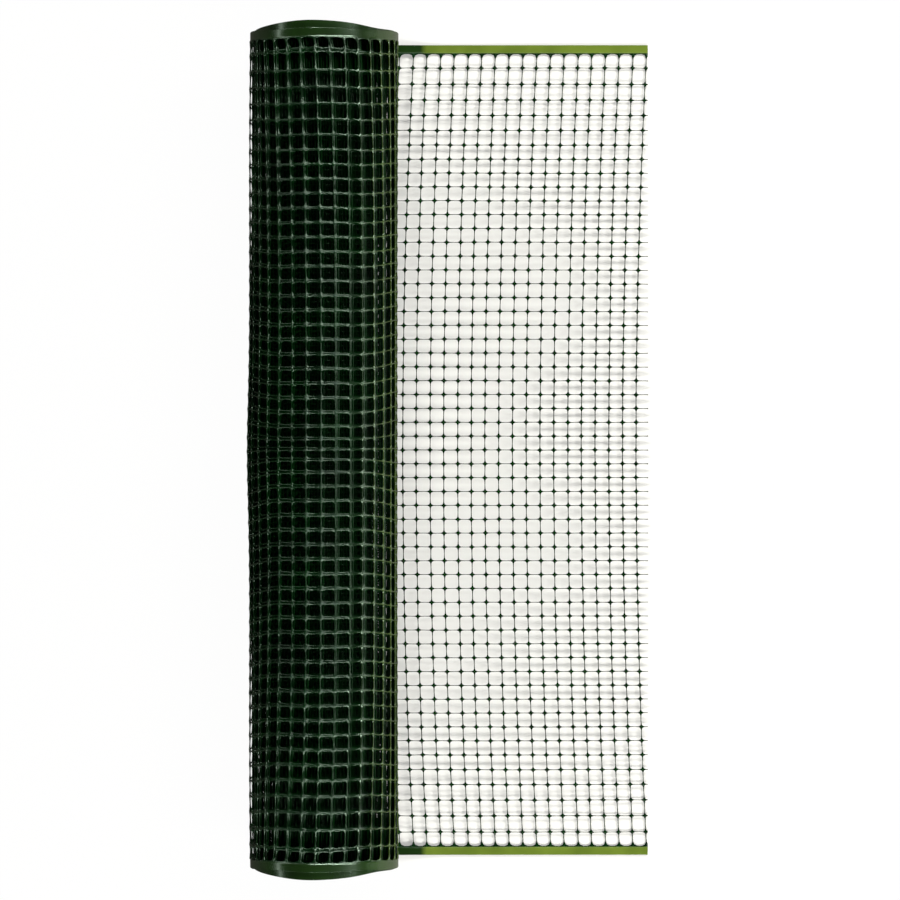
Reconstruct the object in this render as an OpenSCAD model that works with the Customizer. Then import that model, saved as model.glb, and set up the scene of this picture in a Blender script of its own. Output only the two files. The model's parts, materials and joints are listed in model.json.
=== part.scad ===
// A roll of extruded plastic fence mesh, lying on the ground with its free end unrolled flat.
// The roll's axis lies along Y, the free end runs out along +X, and the ground is z = 0.
// The origin is on the ground, in the middle of the roll and its free end together.
// The mesh is one continuous length. Its free end is kept in strips that meet edge to edge.

/* [Mesh] */
// Width of the mesh over both edge bands, which is also the length of the roll
mesh_w = 1000; // [800:10:1250]
// Clear opening between the strands, along the length of the fence
opening = 15; // [12:0.5:20]
// Width of a strand
strand_w = 2; // [1.2:0.1:2.6]
// Thickness of the mesh
mesh_t = 2; // [1.5:0.1:2.4]
// Leg of the small web that fills each corner of an opening
web = 1.8; // [1:0.1:2.4]
// Width of the solid band along each edge
band_w = 11; // [8:0.5:16]
// Leg of the arch that an opening makes against a band
arch = 4.5; // [2.5:0.5:5.5]
// How much wider the openings beside a band are than those in the middle, as a share
edge_stretch = 0.2; // [0:0.05:0.3]
// Number of rows of openings over which that extra width fades out
fade_rows = 7; // [3:1:10]
// Height of the row of openings against a band, as a share of what that extra width makes it
band_row = 0.84; // [0.7:0.02:1]
// How far the cross strands lag behind in the middle of the width
bow = 14; // [4:1:24]

/* [Roll] */
// Outside diameter of the roll
roll_d = 178; // [140:2:220]
// Diameter of the open bore through the roll
bore_d = 50; // [36:2:70]
// Radial step from one turn to the next
turn_step = 2.3; // [1.9:0.1:3.4]
// Width of the gap that shows between two turns at an end
turn_gap = 0.7; // [0.4:0.1:1]
// Depth of that gap, from the end of the roll
gap_depth = 4; // [2:0.5:8]

/* [Free end] */
// Distance from the roll's axis to the straight cut at the free end
free_reach = 398; // [320:2:500]
// Thickness at which the free end starts, in the wedge under the roll
lead_t = 0.8; // [0.5:0.1:1.2]

/* [Hidden] */
strips = 4;
roll_sides = 180;
wound_green = "#16321c";
flat_green = "#46631f";

roll_r = roll_d / 2;
bore_r = bore_d / 2;
turns = floor((roll_r - bore_r) / turn_step);
turn_pitch = (roll_r - bore_r) / turns;
roll_x = (roll_r - free_reach) / 2;

pitch = opening + strand_w;
net_w = mesh_w - 2 * band_w;
row_excess = edge_stretch * (fade_rows + 1) - 2 * (1 - band_row) * (1 + edge_stretch);
rows = round(net_w / pitch - row_excess);
lead_x = sqrt(2 * roll_r * lead_t - lead_t * lead_t);
columns = ceil((free_reach - lead_x) / pitch);

// Height of a row of openings, beside one of the middle rows
function row_share(n) =
    let (from_band = min(n, rows + 1 - n) - 1)
    (from_band == 0 ? band_row : 1) * (1 + edge_stretch * max(0, 1 - from_band / fade_rows));

// Summed shares of the first n rows
function row_run(n) = n == 0 ? 0 : row_run(n - 1) + row_share(n);

row_total = row_run(rows);

// Centre line of each long strand, from the inner edge of one band to that of the other
line_y = [for (n = [0 : rows]) net_w * (row_run(n) / row_total - 0.5)];

// Centre line of cross strand number i, counted from the free end, at the place y across the mesh.
// Distances across a strip are taken from the roll's axis.
function cross_x(i, y) =
    free_reach - strand_w / 2 - i * pitch - bow * (1 - pow(2 * y / net_w, 2));

// Left and right side of the openings between cross strands i and i - 1
function side_l(i, y) = cross_x(i, y) + strand_w / 2;
function side_r(i, y) = cross_x(i - 1, y) - strand_w / 2;

// Outline of one opening, with its corners cut off
function opening_outline(i, n) =
    let (
        low = line_y[n - 1] + (n > 1 ? strand_w / 2 : 0),
        high = line_y[n] - (n < rows ? strand_w / 2 : 0),
        cut_l = n > 1 ? web : arch,
        cut_h = n < rows ? web : arch
    )
    [
        [side_l(i, low) + cut_l, low],
        [side_r(i, low) - cut_l, low],
        [side_r(i, low + cut_l), low + cut_l],
        [side_r(i, high - cut_h), high - cut_h],
        [side_r(i, high) - cut_h, high],
        [side_l(i, high) + cut_h, high],
        [side_l(i, high - cut_h), high - cut_h],
        [side_l(i, low + cut_l), low + cut_l]
    ];

// Cross strand beside which strip s ends on its left, halfway across the openings
function strip_start(s) = round(columns * (1 - s / strips));

// First and last openings of strip s, counted from the free end
function first_opening(s) =
    s == strips - 1 ? -floor((bow + strand_w) / pitch) : strip_start(s + 1) + 1;
function last_opening(s) = s == 0 ? columns : strip_start(s) + 1;

// Points up the mesh where two strips meet
edge_y = concat([-mesh_w / 2], line_y, [mesh_w / 2]);

function strip_edge(s) =
    s == 0 ? [for (y = edge_y) [lead_x, y]] :
    s == strips ? [for (y = edge_y) [free_reach, y]] :
    [for (y = edge_y) [cross_x(strip_start(s) + 0.5, y), y]];

function reversed(list) = [for (i = [len(list) - 1 : -1 : 0]) list[i]];

module strip_outline(s) {
    polygon(concat(strip_edge(s), reversed(strip_edge(s + 1))));
}

module lattice(s) {
    difference() {
        strip_outline(s);
        for (i = [first_opening(s) : last_opening(s)], n = [1 : rows])
            polygon(opening_outline(i, n));
    }
}

// The wound mesh's outer surface, with its axis over x = 0
module roll_blank() {
    translate([0, 0, roll_r])
        rotate([90, 0, 0])
            cylinder(h = mesh_w + 2, r = roll_r, center = true, $fn = roll_sides);
}

// Half section of the end of the roll, from the bore outwards: a tooth for each turn
function end_teeth(end) = [
    for (t = [0 : turns - 1])
        let (
            inner = bore_r + t * turn_pitch,
            outer = inner + turn_pitch - (t < turns - 1 ? turn_gap : 0),
            next = inner + turn_pitch,
            floor_h = end - gap_depth
        )
        each t < turns - 1
            ? [[inner, end], [outer, end], [outer, floor_h], [next, floor_h]]
            : [[inner, end], [outer, end]]
];

module roll() {
    teeth = end_teeth(mesh_w / 2);
    color(wound_green)
        translate([roll_x, 0, roll_r])
            rotate([90, 0, 0])
                rotate_extrude($fn = roll_sides)
                    polygon(concat(teeth, reversed([for (p = teeth) [p[0], -p[1]]])));
}

// Strip s of the free end, from 1 beside the roll to the last one at the straight cut
module free_end(s) {
    color(flat_green)
        translate([roll_x, 0, 0])
            difference() {
                linear_extrude(mesh_t) lattice(s - 1);
                if (s == 1) roll_blank();
            }
}

roll();
free_end(1);  // free_end_1
free_end(2);  // free_end_2
free_end(3);  // free_end_3
free_end(4);  // free_end_4
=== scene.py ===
import json
import math

import bmesh
import bpy
import numpy as np
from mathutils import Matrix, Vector


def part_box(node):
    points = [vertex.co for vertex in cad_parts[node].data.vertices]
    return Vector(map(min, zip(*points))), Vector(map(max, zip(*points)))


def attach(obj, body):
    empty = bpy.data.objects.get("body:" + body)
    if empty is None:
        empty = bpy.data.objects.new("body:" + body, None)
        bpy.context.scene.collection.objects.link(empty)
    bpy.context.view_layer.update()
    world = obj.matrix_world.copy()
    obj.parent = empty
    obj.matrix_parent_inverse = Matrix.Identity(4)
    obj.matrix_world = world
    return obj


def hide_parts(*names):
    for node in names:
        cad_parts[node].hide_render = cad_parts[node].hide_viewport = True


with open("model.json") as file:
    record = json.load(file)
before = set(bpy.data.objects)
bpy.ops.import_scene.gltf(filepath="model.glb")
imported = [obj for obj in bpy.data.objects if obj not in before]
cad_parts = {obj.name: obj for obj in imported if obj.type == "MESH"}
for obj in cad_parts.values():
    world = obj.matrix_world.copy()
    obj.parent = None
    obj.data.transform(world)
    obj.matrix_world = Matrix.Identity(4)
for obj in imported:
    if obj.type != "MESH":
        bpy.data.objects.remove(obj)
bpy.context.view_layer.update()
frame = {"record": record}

# The looks of a roll of extruded plastic fence mesh whose free end lies unrolled on the ground.
# The mesh is laid out flat first, in millimetres: s runs along the fence from the cut at the free
# end, y runs across it from band to band, and h is the height off the middle of the strands, on
# the side that faces out of the roll. laid() then puts every point where it is on the real thing:
# flat beside the roll, up off the ground to it, and round and round in a spiral.

MM = 0.001
TURN = 2 * math.pi

# ---- The frame's own sizes, in millimetres

roll_low, roll_high = (np.array(corner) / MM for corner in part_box("roll"))
cut_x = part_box("free_end_4")[1].x / MM
bore_mount = next(m for m in frame["record"]["mounts"] if m["name"] == "bore")

AXIS_X = (roll_low[0] + roll_high[0]) / 2
ROLL_R = (roll_high[0] - roll_low[0]) / 2
MESH_W = roll_high[1] - roll_low[1]
BORE_R = bore_mount["dims"]["r_mm"]

# ---- The mesh, in millimetres

PITCH = 17.0                # from one strand to the next in the middle of the width
BAND_W = 11.0               # solid band along each edge
EDGE_STRETCH = 0.2          # how much longer the openings beside a band are, as a share
FADE_ROWS = 7               # rows over which that fades out
BAND_ROW = 0.84             # height of the row against a band, as a share of what that makes it
BOW = 14.0                  # how far the cross strands lag in the middle of the width
BOW_LOSS = 0.25             # share of that which is lost where the mesh goes up into the roll
BOW_LOSS_OVER = (18, 34)    # the cross strands over which it is, counted from the cut
LONG_HALF = 0.76            # half the width of a strand that runs along the fence
CROSS_HALF = 0.6            # half the width of a strand that runs across it
DRAWN = 0.33                # how much narrower the long ones are in the flat mesh, as a share
DRAWN_TO = 40.0             # how far beside the roll, and up it, that changes
INNER_HALF = 0.95           # half the width of the strands deep in the roll
BEAD_HALF = 0.6             # half the width of the thick strand inside each band
NECK = 0.76                 # share of its width that a strand keeps halfway between two knots
CORNER_R = 3.1              # radius in the corners of an opening
ARCH_R = 5.4                # the same where an opening meets a band
STRAND_H = 0.8              # half the thickness of a strand
ROOT_H = 1.08               # how much thicker it is where it leaves a knot, as a share
KNOT_H = 1.35               # half the thickness where two strands cross
BEAD_H = 0.9                # half the thickness of the band's inner strand
BAND_H = 0.5                # half the thickness of the band itself
ARCHING = 1.2               # how far the strands of the roll arch out between their knots
ARCHING_OVER = (-90.0, 60.0)    # where it sets in, from where the mesh meets the roll
UNEVEN = 0.2                # how far a knot strays from its place
LONG_SHOULDER = (0.64, 0.77)    # out from the middle of a long strand, and up, as shares
CROSS_SHOULDER = (0.82, 0.93)   # the same for a cross strand, which the die leaves flatter

# A band from the middle of its inner strand outwards: distance, and half the thickness there
BAND_OUT = BAND_W - BEAD_HALF
BAND_PROFILE = [
    (0, BEAD_H), (0.8, 0.66), (1.5, BAND_H - 0.06), (2.4, BAND_H - 0.04),
    (BAND_OUT - 0.3, BAND_H), (BAND_OUT - 0.2, BAND_H), (BAND_OUT - 0.1, 0.4), (BAND_OUT, 0),
]

# ---- The roll, in millimetres, and in turns counted inwards from where the mesh meets it

TURN_STEP = 2.3             # from one turn to the next, outwards
OUTER_R = ROLL_R - STRAND_H # middle of the strands where the roll rests on the ground
INNER_R = BORE_R + KNOT_H
AXIS_Z = OUTER_R + KNOT_H
TURNS = (OUTER_R - INNER_R) / TURN_STEP
OUTER_TURNS = 4             # turns whose strands are made in full
TIGHTER = 0.6               # how much closer than the step those lie
TIGHTER_FROM = (0, 0.25)    # the turns over which that sets in
EVEN_TURN = 9               # turn below which the step is even again
PART_TURN = 0.08            # where in every turn the outer mesh is parted into pieces
LOOSE = 2.5                 # how far the outermost turn stands off the others near its ends
LOOSE_ENDS = (0.3, 0.9)     # how near them, as shares of the way there from its middle
LOOSENS = (0.05, 0.27)      # the turns over which it comes off the others
TIGHTENS = (0.45, 0.85)     # and over which it comes back to them
SLACK = 4.0                 # length of mesh that it takes up beyond its own circle
SLACK_OVER = (300.0, 600.0) # how far round the roll that happens, along the mesh
LEFT_SWELL = 1.7            # how far the roll bellies out on its left, halfway along it
MIDDLE_SWELL = 2.4          # how much further it does in the very middle
MIDDLE_SHARE = 0.16         # how long that middle is, as a share of half the roll
RIGHT_SWELL = 0.8           # how far it bellies out on its right
DENTS = 0.15                # how far it is out of round all over
MIDDLE_BEND = 1.4           # how far the roll leans to the right over where it rests
END_BEND = 2.4              # how much further its ends do
OFF_GROUND = (0, 0.6)       # share of the way up over which it gets free to swell and lean

# ---- Where the rows of openings lie along the roll, in millimetres

ROW_DRIFT = 3.6             # how far the rows of the outer two turns slip past each other
DRIFT_SWING = 2.4           # how fast they do, in radians of a sine for each turn
DRIFT_STARTS = (0, 0.2)     # the turns over which the slip sets in
DRIFT_ENDS = (1.6, 2.4)     # and over which it ends
TOP_TURN = 0.54             # the turn at the top of the roll, where the slip is nought
DEEP_DRIFT = 6.5            # the slip deep in the roll, where no gap lines up with the next
DEEP_SWING = 1.9            # how fast the rows slip there
DEEP_STARTS = (4.0, 5.5)    # the turns over which that sets in
GATHERED = 8.5              # how far the rows over the top are gathered to the roll's middle
GATHERED_WITHIN = 26.0      # how far from the middle that is nearly full
GATHERED_TOP = (0.5, 1.5)   # angle from the top, either way, over which it fades
GATHERED_TURNS = (0.8, 0.95)    # the turns over which the outermost one becomes the next
EASED = 1.0                 # how much less the rows are gathered near the bands
EASED_OVER = (25.0, 75.0)   # distance from the roll's end over which that fades
RIM_OUT = 0.6               # how far the lower turns come out at the ends of the roll
RIM_OVER = (12.0, 45.0)     # distance from the end over which that fades
RIM_TURNS = (0.8, 1.1)      # the turns over which it sets in
RIM_CREST = 2.0             # how much further out they come left of the top
CREST_AT = (-0.25, 0.45)    # angle of that from the top, and half its spread
RIM_DIP = 3.2               # how much less far out they come right of the top
DIP_AT = (0.82, 0.36)       # angle of that from the top, and half its spread

# ---- The free end, in millimetres

LIFT_ANGLE = math.radians(14)   # where it leaves the roll, before the roll's lowest point
LIFT_RISE, LIFT_REACH = 16.0, 58.0      # how far it springs up there, and over what length
END_FALL = 12.0             # how much lower the cut end lies than the crest beside the roll
EDGE_H = 1.7                # height of the mesh's middle at each band of the flat part
SETTLED_OVER = (0, 130.0)   # distance from the roll over which it settles down
SHORT_WAVE = 1.615          # how high its short waves are
SHORT_RUN = (47.0, 61.0)    # how long they are, across the mesh and along it, over two pi
LONG_WAVE = 1.105           # the same two for its long slanting waves
LONG_RUN = (101.0, 83.0)
BAND_CALM = 0.8             # share of those that the bands hold down
BAND_SPREAD = 0.003         # how much wider it lies than the roll, as a share

LIFT_X = AXIS_X + OUTER_R * math.sin(LIFT_ANGLE)
LIFT_Z = AXIS_Z - OUTER_R * math.cos(LIFT_ANGLE)
LIFT_S = cut_x - LIFT_X     # place along the fence where it meets the roll

# ---- Where each strand is, on the flat mesh


def smooth(low, high, value):
    """Climbs from 0 at low to 1 at high, levelling out at both."""
    t = np.clip((value - low) / (high - low), 0, 1)
    return t * t * (3 - 2 * t)


def hump(value, centre, width):
    """A round hump, 1 high."""
    return np.exp(-((value - centre) / width) ** 2)


def line_places():
    """Where each strand that runs along the fence lies across it, with the two band beads as
    the first and the last."""
    net_w = MESH_W - 2 * BAND_W
    excess = EDGE_STRETCH * (FADE_ROWS + 1) - 2 * (1 - BAND_ROW) * (1 + EDGE_STRETCH)
    rows = round(net_w / PITCH - excess)
    row = np.arange(1, rows + 1)
    from_band = np.minimum(row, rows + 1 - row) - 1
    share = 1 + EDGE_STRETCH * np.maximum(0, 1 - from_band / FADE_ROWS)
    share = share * np.where(from_band == 0, BAND_ROW, 1)
    run = np.concatenate([[0], np.cumsum(share)])
    lines = net_w * (run / run[-1] - 0.5)
    lines[0] -= BEAD_HALF
    lines[-1] += BEAD_HALF
    return lines


LINES = line_places()
ROWS = len(LINES) - 1


def cross_place(number, y):
    """Distance from the cut of a cross strand, at y across the mesh. Its bow flattens out, and
    lessens by a quarter, where the free end goes up into the roll."""
    deep = smooth(*BOW_LOSS_OVER, number)
    bow = BOW * (1 - BOW_LOSS * deep) * (1 - np.abs(2 * y / MESH_W) ** (2 + deep))
    return CROSS_HALF + number * PITCH + bow


def wound_place(turns):
    """Place along the fence after that many turns from where it meets the roll."""
    angle = TURN * turns
    circles = OUTER_R * angle - TURN_STEP * angle * angle / (4 * math.pi)
    return LIFT_S + circles + SLACK * smooth(*SLACK_OVER, circles)


def wound_angle(s):
    """Angle round the roll since the mesh met it, for a place along the fence."""
    run = np.maximum(s - LIFT_S, 0)
    run = run - SLACK * smooth(SLACK_OVER[0], SLACK_OVER[1] + SLACK, run)
    in_bore = INNER_R ** 2 * 0.8    # where strands to spare would lie, past the mesh's inner end
    radius = np.sqrt(np.maximum(OUTER_R ** 2 - TURN_STEP * run / math.pi, in_bore))
    return (OUTER_R - radius) * TURN / TURN_STEP


def cross_at_turn(turns):
    """Number of the cross strand nearest to that many turns, halfway between bow and band."""
    return round((wound_place(turns) - BOW / 2) / PITCH)


# ---- How the strands stray from their places, the same on every run

BEFORE_CUT, PAST_END = 2, 4     # cross strands to spare at the cut and at the bore
CROSS_COUNT = math.ceil(wound_place(TURNS) / PITCH) + BEFORE_CUT + PAST_END
WANDER_STEP = 0.5           # how unevenly the cross strands deep in the roll follow each other

rng = np.random.default_rng(41)
STRAY = rng.uniform(-UNEVEN, UNEVEN, (CROSS_COUNT, ROWS + 1, 2))
STRAY[:, :, 0] += rng.uniform(-2 * UNEVEN, 2 * UNEVEN, (CROSS_COUNT, 1))
STRAY[:, (0, -1), 1] = 0

WANDER = np.random.default_rng(11).normal(0, WANDER_STEP, CROSS_COUNT)
WANDER[:cross_at_turn(OUTER_TURNS + PART_TURN)] = 0
WANDER = np.cumsum(WANDER)

# ---- From the flat mesh to the real thing


def waves(out, y):
    """How far the free end waves up and down, that far out from the roll. The numbers added to
    the angles only say where each wave begins."""
    short = np.sin(y / SHORT_RUN[0] + 0.8) * np.sin(out / SHORT_RUN[1] + 0.4)
    slanting = np.sin(y / LONG_RUN[0] - out / LONG_RUN[1] + 2.0)
    return SHORT_WAVE * short + LONG_WAVE * slanting


def free_end_height(out, to_band, settled, wave):
    """Height of the free end's middle: up off the roll, then down to the cut and to both bands."""
    crest = LIFT_Z + LIFT_RISE * (1 - np.exp(-np.maximum(out, 0) / LIFT_REACH))
    middle = crest - END_FALL * out / LIFT_S
    draped = middle - settled * (middle - EDGE_H) * to_band
    return draped + settled * wave * (1 - BAND_CALM * to_band)


def swell(angle, u):
    """How far the roll bellies out, with u from -1 to 1 along it."""
    leftness = (1 + np.sin(angle)) / 2
    left = MIDDLE_SWELL * hump(u, 0, MIDDLE_SHARE) + LEFT_SWELL * (1 - u * u) ** 2
    right = RIGHT_SWELL * (1 - u * u)
    return left * leftness + right * (1 - leftness) + DENTS * np.sin(3 * angle + 5 * u)


def wound_radius(turn, angle, u, off_ground):
    """Distance from the roll's axis. The outer turns lie closer, and from its left side to past
    its top the outermost one is loose near the ends."""
    closer = TIGHTER * np.minimum(turn, OUTER_TURNS) * (1 - smooth(OUTER_TURNS, EVEN_TURN, turn))
    r = OUTER_R - TURN_STEP * turn
    r = r + closer * smooth(*TIGHTER_FROM, turn)
    loose = LOOSE * smooth(*LOOSE_ENDS, np.abs(u)) * smooth(*LOOSENS, turn)
    r = r + loose * (1 - smooth(*TIGHTENS, turn))
    return r + swell(angle, u) * off_ground * r / OUTER_R


def wound_y(turn, angle, y, u):
    """Place along the roll of a point that lies at y across the flat mesh."""
    from_end = MESH_W / 2 - np.abs(y)
    from_top = np.mod(angle, TURN) - math.pi
    at_rim = 1 - smooth(*RIM_OVER, from_end)
    outermost = 1 - smooth(*GATHERED_TURNS, turn)

    rim = RIM_OUT + RIM_CREST * hump(from_top, *CREST_AT) - RIM_DIP * hump(from_top, *DIP_AT)
    rim = rim * smooth(*RIM_TURNS, turn) * at_rim
    gathered = GATHERED * np.tanh(np.abs(y) / GATHERED_WITHIN)
    gathered = gathered - EASED * (1 - smooth(*EASED_OVER, from_end))
    gathered = gathered * (outermost + (1 - outermost) * (1 - at_rim))
    gathered = gathered * (1 - smooth(*GATHERED_TOP, np.abs(from_top)))

    drift = ROW_DRIFT * (1 - u * u) * np.sin(DRIFT_SWING * (turn - TOP_TURN))
    drift = drift * smooth(*DRIFT_STARTS, turn) * (1 - smooth(*DRIFT_ENDS, turn))
    deep = DEEP_DRIFT * (1 - u ** 4) * smooth(*DEEP_STARTS, turn)
    deep = deep * np.sin(DEEP_SWING * (turn - DEEP_STARTS[0]))
    return y + np.sign(y) * (rim - gathered) + drift + deep


def laid(s, y, h):
    """The place of flat points on the real thing, in millimetres."""
    u = 2 * y / MESH_W
    to_band = np.abs(u) ** 3
    out = LIFT_S - s
    settled = smooth(*SETTLED_OVER, out)
    flat_y = y * (1 + BAND_SPREAD * settled * to_band)
    flat_z = free_end_height(out, to_band, settled, waves(out, y)) - h

    psi = wound_angle(s)
    turn, angle = psi / TURN, psi - LIFT_ANGLE
    off_ground = smooth(*OFF_GROUND, (1 - np.cos(angle)) / 2)
    bend = (MIDDLE_BEND + END_BEND * u * u) * off_ground
    r = wound_radius(turn, angle, u, off_ground) + h

    wound = s > LIFT_S
    x = np.where(wound, AXIS_X + bend - r * np.sin(angle), LIFT_X + out)
    z = np.where(wound, AXIS_Z - r * np.cos(angle), flat_z)
    return np.stack([x, np.where(wound, wound_y(turn, angle, y, u), flat_y), z], axis=-1)


# ---- Light and shade painted into each place, as its gloss and its colour

SHADE_GLOSS_LOSS = 0.9               # share of the gloss that the turns below lose, painted shade under the outer ones
SHADE_GLOSS_TURNS = (0.85, 3.2) # the turns over which that grows
FREE_END_GLOSS_CUT = 0.92              # share of the gloss taken off the free end, which keeps highlights off its knots
FREE_END_GLOSS_REACH = 30.0           # how far up the roll that reaches, in millimetres
# These set the thin attribute: light let through the mesh, painted into its base colour as olive
# and given by the translucent share too
STRAND_LIGHT = 0.24         # how much light the strands over the free end let through, painted olive into their colour as well
STRAND_LIGHT_FROM = (0.35, 1.3)     # angle from the roll's top over which that sets in
STRAND_LIGHT_TURN = 0.85    # the turn at which it ends
BAND_LIGHT = 0.80           # how much light the bands of the free end let through
ROLL_SHADE = (116.0, 126.0) # distance from the roll's axis over which the painted shade of the roll on the bands ends
FAR_LIGHT = 0.14            # how much more they let through further out
FAR_OVER = (150.0, 200.0)   # distance from the roll's axis over which that sets in
WOUND_BAND_LIGHT = 0.04     # how much the bands let through in the roll
WOUND_BAND_SHARE = 0.35     # and what they add of the light through the strands


def gloss_after_shade(s):
    """How much gloss the mesh keeps: all of it on the outermost turn, less with every turn that
    lies over it, as painted shade inside the roll, and little on the free end, where it is taken
    off so its knots show no highlights."""
    painted_shade = SHADE_GLOSS_LOSS * smooth(*SHADE_GLOSS_TURNS, wound_angle(s) / TURN)
    return 1 - painted_shade - FREE_END_GLOSS_CUT * (s < LIFT_S + FREE_END_GLOSS_REACH)


def strand_glow_paint(s):
    """How much light comes through the strands from the pale ground, painted olive into their
    colour as well as let through: a little where the outermost turn stands over the free end, and
    none elsewhere."""
    psi = wound_angle(s)
    from_top = psi - LIFT_ANGLE - math.pi
    return STRAND_LIGHT * smooth(*STRAND_LIGHT_FROM, from_top) * (psi < STRAND_LIGHT_TURN * TURN)


def band_glow_paint(s):
    """The same for the bands: much of it comes through the free end's, but none in the roll's own
    shade, painted in as a dark stretch of band that ends some 30 mm beside it."""
    from_axis = cut_x - AXIS_X - s
    most = BAND_LIGHT + FAR_LIGHT * smooth(*FAR_OVER, from_axis)
    flat = smooth(*ROLL_SHADE, from_axis) * most
    return WOUND_BAND_LIGHT + flat + WOUND_BAND_SHARE * strand_glow_paint(s)


# ---- Meshes


def piece(name, flat, quads, thin, material, cut_faces):
    """A mesh object from flat points, the quads of its smooth skin, and the flat faces where it
    was cut."""
    mesh = bpy.data.meshes.new(name)
    placed = laid(flat[:, 0], flat[:, 1], flat[:, 2]) * MM
    faces = quads.tolist() + [list(face) for face in cut_faces]
    mesh.from_pydata(placed.tolist(), [], faces)
    # open holds the gloss left after painted shade; thin holds the olive glow of light through the
    # mesh, painted into its colour
    for key, values in (("thin", thin), ("open", gloss_after_shade(flat[:, 0]))):
        mesh.attributes.new(key, "FLOAT", "POINT").data.foreach_set("value", values)
    mesh.polygons.foreach_set("use_smooth", np.arange(len(faces)) < len(quads))
    mesh.materials.append(material)
    obj = bpy.data.objects.new(name, mesh)
    bpy.context.scene.collection.objects.link(obj)
    return obj


def ring_quads(outer, inner):
    """Quads between two rings of vertex numbers, each of shape (..., ring length)."""
    return np.stack(
        [outer, np.roll(outer, -1, -1), np.roll(inner, -1, -1), inner], axis=-1
    ).reshape(-1, 4)


def knot_places(first, last):
    """Where strands cross, from cross strand number first to last, as (s, y)."""
    number = np.arange(first, last + 1)
    s = cross_place(number[:, None], LINES[None, :])
    y = np.broadcast_to(LINES, s.shape)
    stray = STRAY[number + BEFORE_CUT]
    return np.stack([s + stray[..., 0], y + stray[..., 1]], axis=-1)


def opening_rings(first, last, halfway):
    """For every opening between the cross strands first and last: the ring of points along the
    middle of the strands around it and the ring along its own edge, with the height of the first.
    Each side has its corner and the ends of its two roundings, and halfway a point between."""
    knots = knot_places(first, last)
    corner = [knots[:-1, :-1], knots[1:, :-1], knots[1:, 1:], knots[:-1, 1:]]
    no_band = np.zeros((last - first, ROWS), bool)
    at_low, at_high = no_band.copy(), no_band.copy()
    at_low[:, 0], at_high[:, -1] = True, True
    drawn = DRAWN * (1 - smooth(LIFT_S - DRAWN_TO, LIFT_S + DRAWN_TO, corner[0][..., 0]))
    long_half, cross_half = LONG_HALF * (1 - drawn), np.full(drawn.shape, CROSS_HALF)
    half = [
        np.where(at_low, BEAD_HALF, long_half), cross_half,
        np.where(at_high, BEAD_HALF, long_half), cross_half,
    ]
    low_r, high_r = np.where(at_low, ARCH_R, CORNER_R), np.where(at_high, ARCH_R, CORNER_R)
    radius = [low_r, low_r, high_r, high_r]
    to_arc = 1 - math.sqrt(0.5)     # from the corner to its rounding, as a share of the radius
    middle, edge, height = [], [], []
    for side, bead in enumerate([at_low, no_band, at_high, no_band]):
        start, end = corner[side], corner[(side + 1) % 4]
        before, after = half[side - 1], half[(side + 1) % 4]
        run = end - start
        run = run / np.linalg.norm(run, axis=-1, keepdims=True)
        inward = np.stack([-run[..., 1], run[..., 0]], axis=-1)
        wide = half[side][..., None]
        start_r, end_r = radius[side], radius[(side + 1) % 4]
        strand_h = np.where(bead, BEAD_H, STRAND_H)

        middle.append(start)
        along = (before + start_r * to_arc)[..., None] * run
        edge.append(start + along + (wide + (start_r * to_arc)[..., None]) * inward)
        height.append(np.full(bead.shape, KNOT_H))

        begin = start + (before + start_r)[..., None] * run
        middle.append(begin)
        edge.append(begin + wide * inward)
        height.append(strand_h * ROOT_H)

        if halfway:
            centre = (start + end) / 2
            if side in (0, 2):
                lean = ARCHING * smooth(*ARCHING_OVER, centre[..., 0] - LIFT_S)
                lean = np.where(bead, 0, lean * 2 * centre[..., 1] / MESH_W)
                centre = centre + np.stack([np.zeros_like(lean), lean], axis=-1)
            neck = np.where(bead, 1.0, NECK)[..., None]
            middle.append(centre)
            edge.append(centre + wide * neck * inward)
            height.append(strand_h * np.where(bead, 1.0, NECK))

        stop = end - (after + end_r)[..., None] * run
        middle.append(stop)
        edge.append(stop + wide * inward)
        height.append(strand_h * ROOT_H)
    return np.stack(middle, 2), np.stack(edge, 2), np.stack(height, 2)


def shoulders(ring):
    """How far out and up the shoulder of a strand is at each place round an opening, as shares."""
    step = ring // 4
    out, up = np.full(ring, LONG_SHOULDER[0]), np.full(ring, LONG_SHOULDER[1])
    for side in (1, 3):
        between_knots = slice(side * step + 1, (side + 1) * step)
        out[between_knots], up[between_knots] = CROSS_SHOULDER
    return out[:, None], up


def side_line(openings, side):
    """Vertex numbers along one side of a row of openings, from end to end. They run round each
    opening, so sides 2 and 3 are read backwards."""
    ring = openings.shape[1]
    step = ring // 4
    if side < 2:
        picks = [side * step + k for k in range(step)]
        far = (side + 1) * step
    else:
        picks = [(side + 1) * step % ring] + [side * step + k for k in range(step - 1, 0, -1)]
        far = side * step
    return np.append(openings[:, picks].reshape(-1), openings[-1, far])


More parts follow.
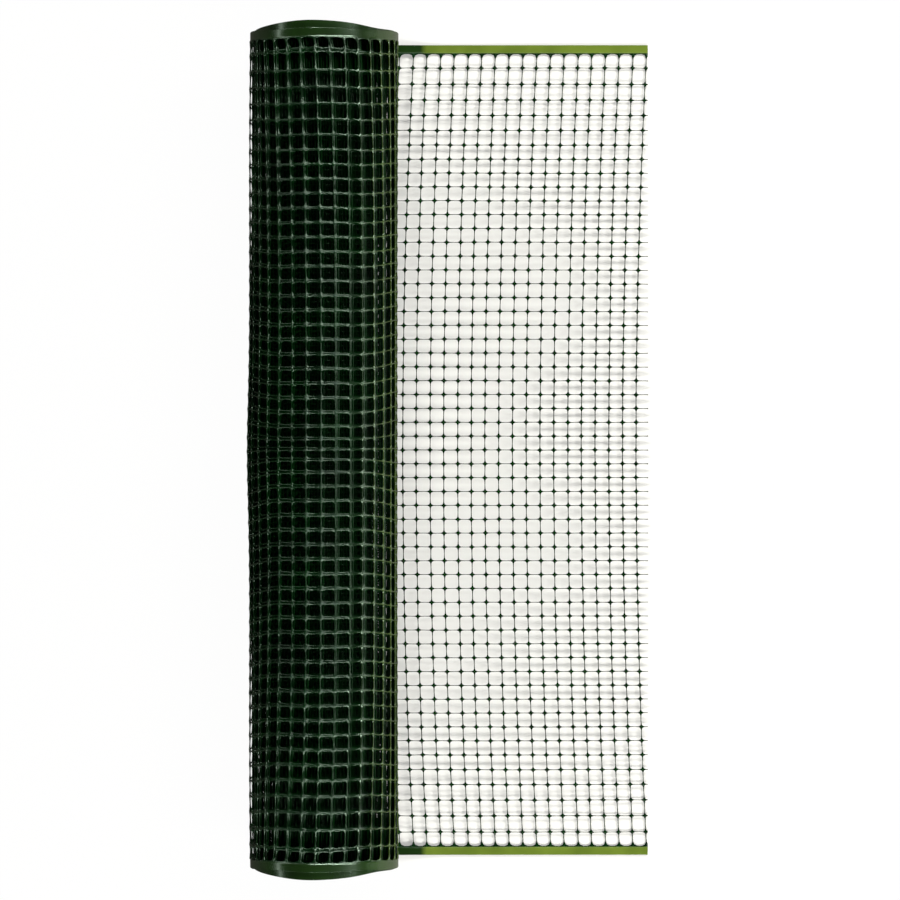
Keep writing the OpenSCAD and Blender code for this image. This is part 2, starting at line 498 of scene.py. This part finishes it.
def lattice(name, first, last, halfway, full_back, material):
    """The mesh between two cross strands, with both bands, as one closed piece. With halfway its
    strands have a point between their knots, and with full_back they are as round below."""
    middle, edge, height = opening_rings(first, last, halfway)
    shoulder_out, shoulder_up = shoulders(height.shape[2])
    shoulder = middle + shoulder_out * (edge - middle)

    def with_height(plan, h):
        return np.concatenate([plan, h[..., None]], axis=-1).reshape(-1, 3)

    shared = np.concatenate([with_height(middle, height), with_height(middle, -height)])
    keys = np.round(shared * 1e4).astype(np.int64)  # the same point to a ten-thousandth
    _, kept, number = np.unique(keys, axis=0, return_index=True, return_inverse=True)
    top, bottom = number.reshape(2, *height.shape)
    points = [shared[kept]]
    count = len(kept)

    def add(plan, h):
        nonlocal count
        points.append(with_height(plan, h))
        ids = np.arange(height.size).reshape(height.shape) + count
        count += height.size
        return ids

    rim = add(edge, np.zeros_like(height))
    up = add(shoulder, shoulder_up * height)
    quads = [ring_quads(top, up), ring_quads(up, rim)]
    if full_back:
        down = add(shoulder, -shoulder_up * height)
        quads += [ring_quads(rim, down), ring_quads(down, bottom)]
    else:
        quads += [ring_quads(rim, bottom)]
    # thin per point: the painted olive glow of light through the mesh
    thin = [np.zeros(count)]

    # the bands: from the bead's middle line outwards, round the edge and back underneath
    around = BAND_PROFILE[1:] + [(d, -h) for d, h in BAND_PROFILE[-2:0:-1]]
    cut_faces = []
    for side, row, outward in ((0, 0, -1), (2, ROWS - 1, 1)):
        line_top, line_low = side_line(top[:, row], side), side_line(bottom[:, row], side)
        base = shared[kept][line_top]
        levels = [line_top]
        for d, h in around:
            points.append(np.column_stack([base[:, :2] + [0, outward * d], np.full(len(base), h)]))
            levels.append(np.arange(len(base)) + count)
            thin.append(band_glow_paint(base[:, 0]))
            count += len(base)
        levels = np.array(levels + [line_low])
        near, far = levels[:-1], levels[1:]
        strip = np.stack([far[:, :-1], far[:, 1:], near[:, 1:], near[:, :-1]], axis=-1)
        quads.append((strip[..., ::-1] if outward > 0 else strip).reshape(-1, 4))
        cut_faces.append(levels[::outward, 0])
        cut_faces.append(levels[::-outward, -1])

    # the cut faces at both ends
    walls = []
    for column, side, turned in ((0, 3, 1), (-1, 1, -1)):
        up_line, low_line = side_line(top[column], side), side_line(bottom[column], side)
        wall = np.stack([up_line[:-1], up_line[1:], low_line[1:], low_line[:-1]], axis=-1)
        walls += wall[:, ::turned].tolist()

    flat = np.concatenate(points)
    within = np.abs(flat[:, 1]) < LINES[-1]
    thin = np.maximum(np.concatenate(thin), strand_glow_paint(flat[:, 0]) * within)
    return piece(name, flat, np.concatenate(quads), thin, material, walls + cut_faces)


def cut_straight(obj, x):
    """Cuts the mesh off square at x, as a knife leaves it, and closes every strand's end."""
    form = bmesh.new()
    form.from_mesh(obj.data)
    whole = form.verts[:] + form.edges[:] + form.faces[:]
    cut = bmesh.ops.bisect_plane(
        form, geom=whole, plane_co=(x * MM, 0, 0), plane_no=(1, 0, 0), clear_outer=True
    )
    edges = [e for e in cut["geom_cut"] if isinstance(e, bmesh.types.BMEdge)]
    bmesh.ops.holes_fill(form, edges=edges, sides=0)
    form.to_mesh(obj.data)
    form.free()


def bars(paths, along_fence):
    """Plain four-sided strands along paths of flat points (strands, places, 2), as flat points,
    quads and end faces."""
    strands, places = paths.shape[:2]
    across = np.array([0, 1.0]) if along_fence else np.array([1.0, 0])
    offsets = [(-INNER_HALF, 0), (0, STRAND_H), (INNER_HALF, 0), (0, -STRAND_H)]
    corners = [
        np.concatenate([paths + across * w, np.full((strands, places, 1), h)], axis=-1)
        for w, h in offsets
    ]
    flat = np.stack(corners, axis=2).reshape(-1, 3)
    ids = np.arange(strands * places * 4).reshape(strands, places, 4)
    here, there = ids[:, :-1], ids[:, 1:]
    sides = np.stack(
        [here, there, np.roll(there, -1, -1), np.roll(here, -1, -1)], axis=-1
    ).reshape(-1, 4)
    ends = np.concatenate([ids[:, 0], ids[:, -1, ::-1]])
    return (flat, sides, ends) if along_fence else (flat, sides[:, ::-1], ends[:, ::-1])


def joined(name, parts, material):
    """One piece from several, each given as flat points, quads and end faces."""
    points, quads, ends, count = [], [], [], 0
    for flat, faces, end_faces in parts:
        points.append(flat)
        quads.append(faces + count)
        ends.append(end_faces + count)
        count += len(flat)
    cut_faces = np.concatenate(ends).tolist()
    flat, quads = np.concatenate(points), np.concatenate(quads)
    return piece(name, flat, quads, np.zeros(count), material, cut_faces)


def places_along(from_turn, to_turn, per_turn):
    """Evenly spaced places along the fence between those turns of the roll."""
    steps = round((to_turn - from_turn) * per_turn)
    return wound_place(np.linspace(from_turn, to_turn, steps + 1))


def long_strands(from_turn, to_turn, per_turn):
    """The strands that run along the fence, through those turns of the roll."""
    s = places_along(from_turn, to_turn, per_turn)
    y = LINES[1:-1, None]
    return bars(np.stack(np.broadcast_arrays(s, y), axis=-1), True)


def cross_strands(from_turn, to_turn, steps):
    """The strands that run across the fence, in those turns of the roll."""
    start, stop = (wound_place(t) for t in (from_turn, to_turn))
    number = np.arange(math.ceil((start - BOW) / PITCH), math.floor((stop - BOW) / PITCH))
    y = np.linspace(LINES[0], LINES[-1], steps + 1)
    s = cross_place(number[:, None], y[None, :]) + WANDER[number][:, None]
    return bars(np.stack(np.broadcast_arrays(s, y), axis=-1), False)


def wound_band(from_turn, to_turn, per_turn, outward):
    """One edge band through those turns."""
    s = places_along(from_turn, to_turn, per_turn)
    line = LINES[-1] if outward > 0 else LINES[0]
    under = [(d, -h) for d, h in BAND_PROFILE[-2::-1]]
    loop = BAND_PROFILE + under + [(-BEAD_HALF, 0)]
    flat = np.array([[(a, line + outward * d, h) for d, h in loop] for a in s])
    ids = np.arange(flat.shape[0] * len(loop)).reshape(-1, len(loop))
    quads = ring_quads(ids[:-1], ids[1:])
    ends = np.stack([ids[0, ::-1], ids[-1]])
    return flat.reshape(-1, 3), quads[:, ::outward], ends[:, ::outward]


# ---- Materials


def colour(code):
    """Linear colour of an sRGB hex code."""
    parts = [int(code[i:i + 2], 16) / 255 for i in (1, 3, 5)]
    return [c / 12.92 if c <= 0.04045 else ((c + 0.055) / 1.055) ** 2.4 for c in parts] + [1.0]


def node(tree, kind, inputs=None, **settings):
    """Adds a node with its own settings. Each of its inputs is set to a value, or linked to the
    output of another node."""
    made = tree.nodes.new("ShaderNode" + kind)
    for key, value in settings.items():
        setattr(made, key, value)
    for socket, source in (inputs or {}).items():
        if isinstance(source, bpy.types.NodeSocket):
            tree.links.new(source, made.inputs[socket])
        else:
            made.inputs[socket].default_value = source
    return made


def new_material(name):
    material = bpy.data.materials.new(name)
    material.use_nodes = True
    material.node_tree.nodes.clear()
    return material, material.node_tree


def green_polyethylene():
    """Extruded and drawn polyethylene, coloured right through with a dark green pigment. The die
    leaves it smooth and waxy, with a clear gloss along each strand. In bulk it is nearly black;
    one thin layer over a pale ground lets light through and turns olive, and that olive glow is
    painted into the base colour as well as given by the translucent shader. Where the mesh lies in
    shade its gloss is lowered as painted shade."""
    clouding = 45.5             # size of the faint clouds in the pigment, in millimetres
    die_marks = 1.43            # from one mark of the die to the next, drawn coarse enough to show
    material, tree = new_material("green_polyethylene")
    place = node(tree, "TexCoord").outputs["Object"]
    thin = node(tree, "Attribute", attribute_name="thin").outputs["Fac"]
    # the gloss that painted shade leaves, which scales the specular level and the coat
    unshaded_gloss = node(tree, "Attribute", attribute_name="open").outputs["Fac"]
    cloudy = node(tree, "TexNoise", {"Vector": place, "Scale": 1 / (clouding * MM), "Detail": 3.0})
    drawn = node(tree, "TexNoise", {"Vector": place, "Scale": 1 / (die_marks * MM), "Detail": 2.0})
    cloud = node(
        tree, "MapRange", {"Value": cloudy.outputs["Fac"], "From Min": 0.3, "From Max": 0.7}
    ).outputs["Result"]
    bulk = node(
        tree, "MixRGB", {"Fac": cloud, "Color1": colour("#021305"), "Color2": colour("#042408")}
    )
    # olive is the colour of light through one layer, painted into the base colour where thin is
    # high
    olive = node(
        tree, "MixRGB", {"Fac": cloud, "Color1": colour("#5a6e25"), "Color2": colour("#748832")}
    )
    tint = node(
        tree, "MixRGB",
        {"Fac": thin, "Color1": bulk.outputs["Color"], "Color2": olive.outputs["Color"]},
    )
    rough = node(
        tree, "MapRange", {"Value": drawn.outputs["Fac"], "To Min": 0.17, "To Max": 0.26}
    )
    bump = node(
        tree, "Bump",
        {"Height": drawn.outputs["Fac"], "Strength": 0.12, "Distance": 0.3 * MM},
    )
    gloss = node(tree, "Math", {0: unshaded_gloss, 1: 0.95}, operation="MULTIPLY")
    wax = node(tree, "Math", {0: unshaded_gloss, 1: 0.45}, operation="MULTIPLY")
    skin = node(
        tree, "BsdfPrincipled",
        {"Base Color": tint.outputs["Color"], "Roughness": rough.outputs["Result"],
         "Normal": bump.outputs["Normal"], "Specular IOR Level": gloss.outputs[0],
         "Coat Weight": wax.outputs[0], "Coat Roughness": 0.2, "IOR": 1.52,
         "Specular Tint": colour("#b6d6b8")},
    )
    glow = node(tree, "BsdfTranslucent", {"Color": colour("#7f9a2c")})
    share = node(tree, "MapRange", {"Value": thin, "To Min": 0.03, "To Max": 0.34})
    mixed = node(
        tree, "MixShader",
        {0: share.outputs["Result"], 1: skin.outputs["BSDF"], 2: glow.outputs["BSDF"]},
    )
    node(tree, "OutputMaterial", {"Surface": mixed.outputs["Shader"]})
    return material


def white_ground():
    """A matt paper ground. It keeps the shadows of the strands and turns to plain white round
    about the mesh. It throws less light back than it shows, and least on the left, so the inside
    of the roll stays dark."""
    middle = ((AXIS_X + cut_x) / 2 * MM, 0, 0)
    half_size = ((cut_x - AXIS_X) / 2 * MM, (MESH_W - BAND_W) / 2 * MM, 0)
    fade = (90 * MM, 30 * MM, 1)
    material, tree = new_material("white_paper")
    place = node(tree, "TexCoord").outputs["Object"]
    paper = node(tree, "BsdfDiffuse", {"Color": colour("#dddcd6"), "Roughness": 0.9})
    white = node(tree, "Emission", {"Color": (1, 1, 1, 1), "Strength": 1.0})
    shifted = node(tree, "VectorMath", {0: place, 1: middle}, operation="SUBTRACT")
    from_middle = node(tree, "VectorMath", {0: shifted.outputs[0]}, operation="ABSOLUTE")
    beyond = node(
        tree, "VectorMath", {0: from_middle.outputs[0], 1: half_size}, operation="SUBTRACT"
    )
    faded = node(tree, "VectorMath", {0: beyond.outputs[0], 1: fade}, operation="DIVIDE")
    apart = node(tree, "SeparateXYZ", {"Vector": faded.outputs[0]})
    outside = node(
        tree, "Math", {0: apart.outputs["X"], 1: apart.outputs["Y"]}, operation="MAXIMUM"
    )
    share = node(
        tree, "MapRange", {"Value": outside.outputs[0], "To Min": 0.2, "To Max": 0.97},
        interpolation_type="SMOOTHSTEP",
    )
    shown = node(
        tree, "MixShader",
        {0: share.outputs["Result"], 1: paper.outputs["BSDF"], 2: white.outputs["Emission"]},
    )
    across = node(tree, "SeparateXYZ", {"Vector": place})
    side = node(
        tree, "MapRange", {"Value": across.outputs["X"], "From Min": -0.2, "From Max": 0.1}
    )
    tone = node(
        tree, "MixRGB",
        {"Fac": side.outputs["Result"], "Color1": colour("#45453f"), "Color2": colour("#b0b0a6")},
    )
    unseen = node(tree, "BsdfDiffuse", {"Color": tone.outputs["Color"], "Roughness": 0.9})
    path = node(tree, "LightPath")
    mixed = node(
        tree, "MixShader",
        {0: path.outputs["Is Camera Ray"], 1: unseen.outputs["BSDF"], 2: shown.outputs["Shader"]},
    )
    node(tree, "OutputMaterial", {"Surface": mixed.outputs["Shader"]})
    return material


# ---- Stage


def studio_air():
    """Weak light from low down all round, white where the camera sees past the ground."""
    world = bpy.data.worlds.new("studio")
    world.use_nodes = True
    tree = world.node_tree
    tree.nodes.clear()
    path = node(tree, "LightPath")
    place = node(tree, "TexCoord")
    up = node(tree, "SeparateXYZ", {"Vector": place.outputs["Generated"]})
    fall = node(
        tree, "MapRange",
        {"Value": up.outputs["Z"], "From Max": 0.35, "To Min": 0.06, "To Max": 0.01},
    )
    soft = node(
        tree, "Background", {"Color": (1, 1, 1, 1), "Strength": fall.outputs["Result"]}
    )
    white = node(tree, "Background", {"Color": (1, 1, 1, 1), "Strength": 1.0})
    mixed = node(
        tree, "MixShader",
        {0: path.outputs["Is Camera Ray"], 1: soft.outputs["Background"],
         2: white.outputs["Background"]},
    )
    node(tree, "OutputWorld", {"Surface": mixed.outputs["Shader"]})
    bpy.context.scene.world = world


def soft_box(name, place, aim, wide, high, watts):
    """A lamp behind a white sheet, with its long side level."""
    lamp = bpy.data.lights.new(name, "AREA")
    lamp.shape, lamp.size, lamp.size_y, lamp.energy = "RECTANGLE", wide, high, watts
    obj = bpy.data.objects.new(name, lamp)
    obj.location = place
    obj.rotation_euler = (Vector(aim) - Vector(place)).to_track_quat("-Z", "Y").to_euler()
    obj.visible_camera = False
    bpy.context.scene.collection.objects.link(obj)


def lights():
    """Long narrow lamps over both ends of the roll put a gloss on every strand, a low one from
    the right lights its flank, and weak ones from the left keep that side from going black."""
    ends = (("far", 1), ("near", -1))
    for end, way in ends:
        soft_box(f"{end}_box", (0.4, 1.5 * way, 1.5), (-0.1, 0.1 * way, 0), 2.3, 0.2, 60)
    soft_box("right_box", (1.7, 0.0, 0.42), (-0.1, 0, 0.1), 1.2, 0.5, 13)
    for end, way in ends:
        place, aim = (-1.3, 1.2 * way, 0.6), (-0.15, 0.15 * way, 0.1)
        soft_box(f"left_{end}_box", place, aim, 1.4, 0.2, 3.5)


def ground():
    """The flat sheet of paper that the roll lies on."""
    bpy.ops.mesh.primitive_plane_add(size=14, location=(0, 0, 0))
    sheet = bpy.context.object
    sheet.name = "ground"
    sheet.data.materials.append(white_ground())
    return sheet


def camera_overhead():
    """Straight down from 3 m above, with a long lens."""
    data = bpy.data.cameras.new("camera")
    data.sensor_width = 36.0
    data.lens = 96.8
    camera = bpy.data.objects.new("camera", data)
    camera.location = (-0.0014, 0.0, 3.0)
    bpy.context.scene.collection.objects.link(camera)
    bpy.context.scene.camera = camera


# ---- Building it


def outer_mesh(material):
    """The free end and the outer turns, each from one cross strand to another."""
    stop = cross_at_turn(PART_TURN)
    free_mesh = lattice("free_mesh", -1, stop, True, True, material)
    cut_straight(free_mesh, cut_x)
    made = [free_mesh]
    for turn in range(1, OUTER_TURNS + 1):
        start, stop = stop, cross_at_turn(PART_TURN + turn)
        made.append(lattice(f"wound_turn_{turn}", start, stop, turn == 1, False, material))
    return made


def inner_mesh(material):
    """The turns below those, as plain strands and bands down to the bore."""
    inside = OUTER_TURNS + PART_TURN
    long_parts = [long_strands(inside, TURNS, per_turn=16)]
    cross_parts = [cross_strands(inside, TURNS, steps=10)]
    band_parts = [wound_band(inside, TURNS, 32, outward) for outward in (-1, 1)]
    return [
        joined("inner_long_strands", long_parts, material),
        joined("inner_cross_strands", cross_parts, material),
        joined("inner_bands", band_parts, material),
    ]


polyethylene = green_polyethylene()
outer, inner = outer_mesh(polyethylene), inner_mesh(polyethylene)
for made in outer + inner:
    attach(made, "root")
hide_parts("free_end_1", "free_end_2", "free_end_3", "free_end_4")
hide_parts("roll")

ground()
studio_air()
lights()
camera_overhead()
bpy.context.scene.view_settings.view_transform = "Standard"
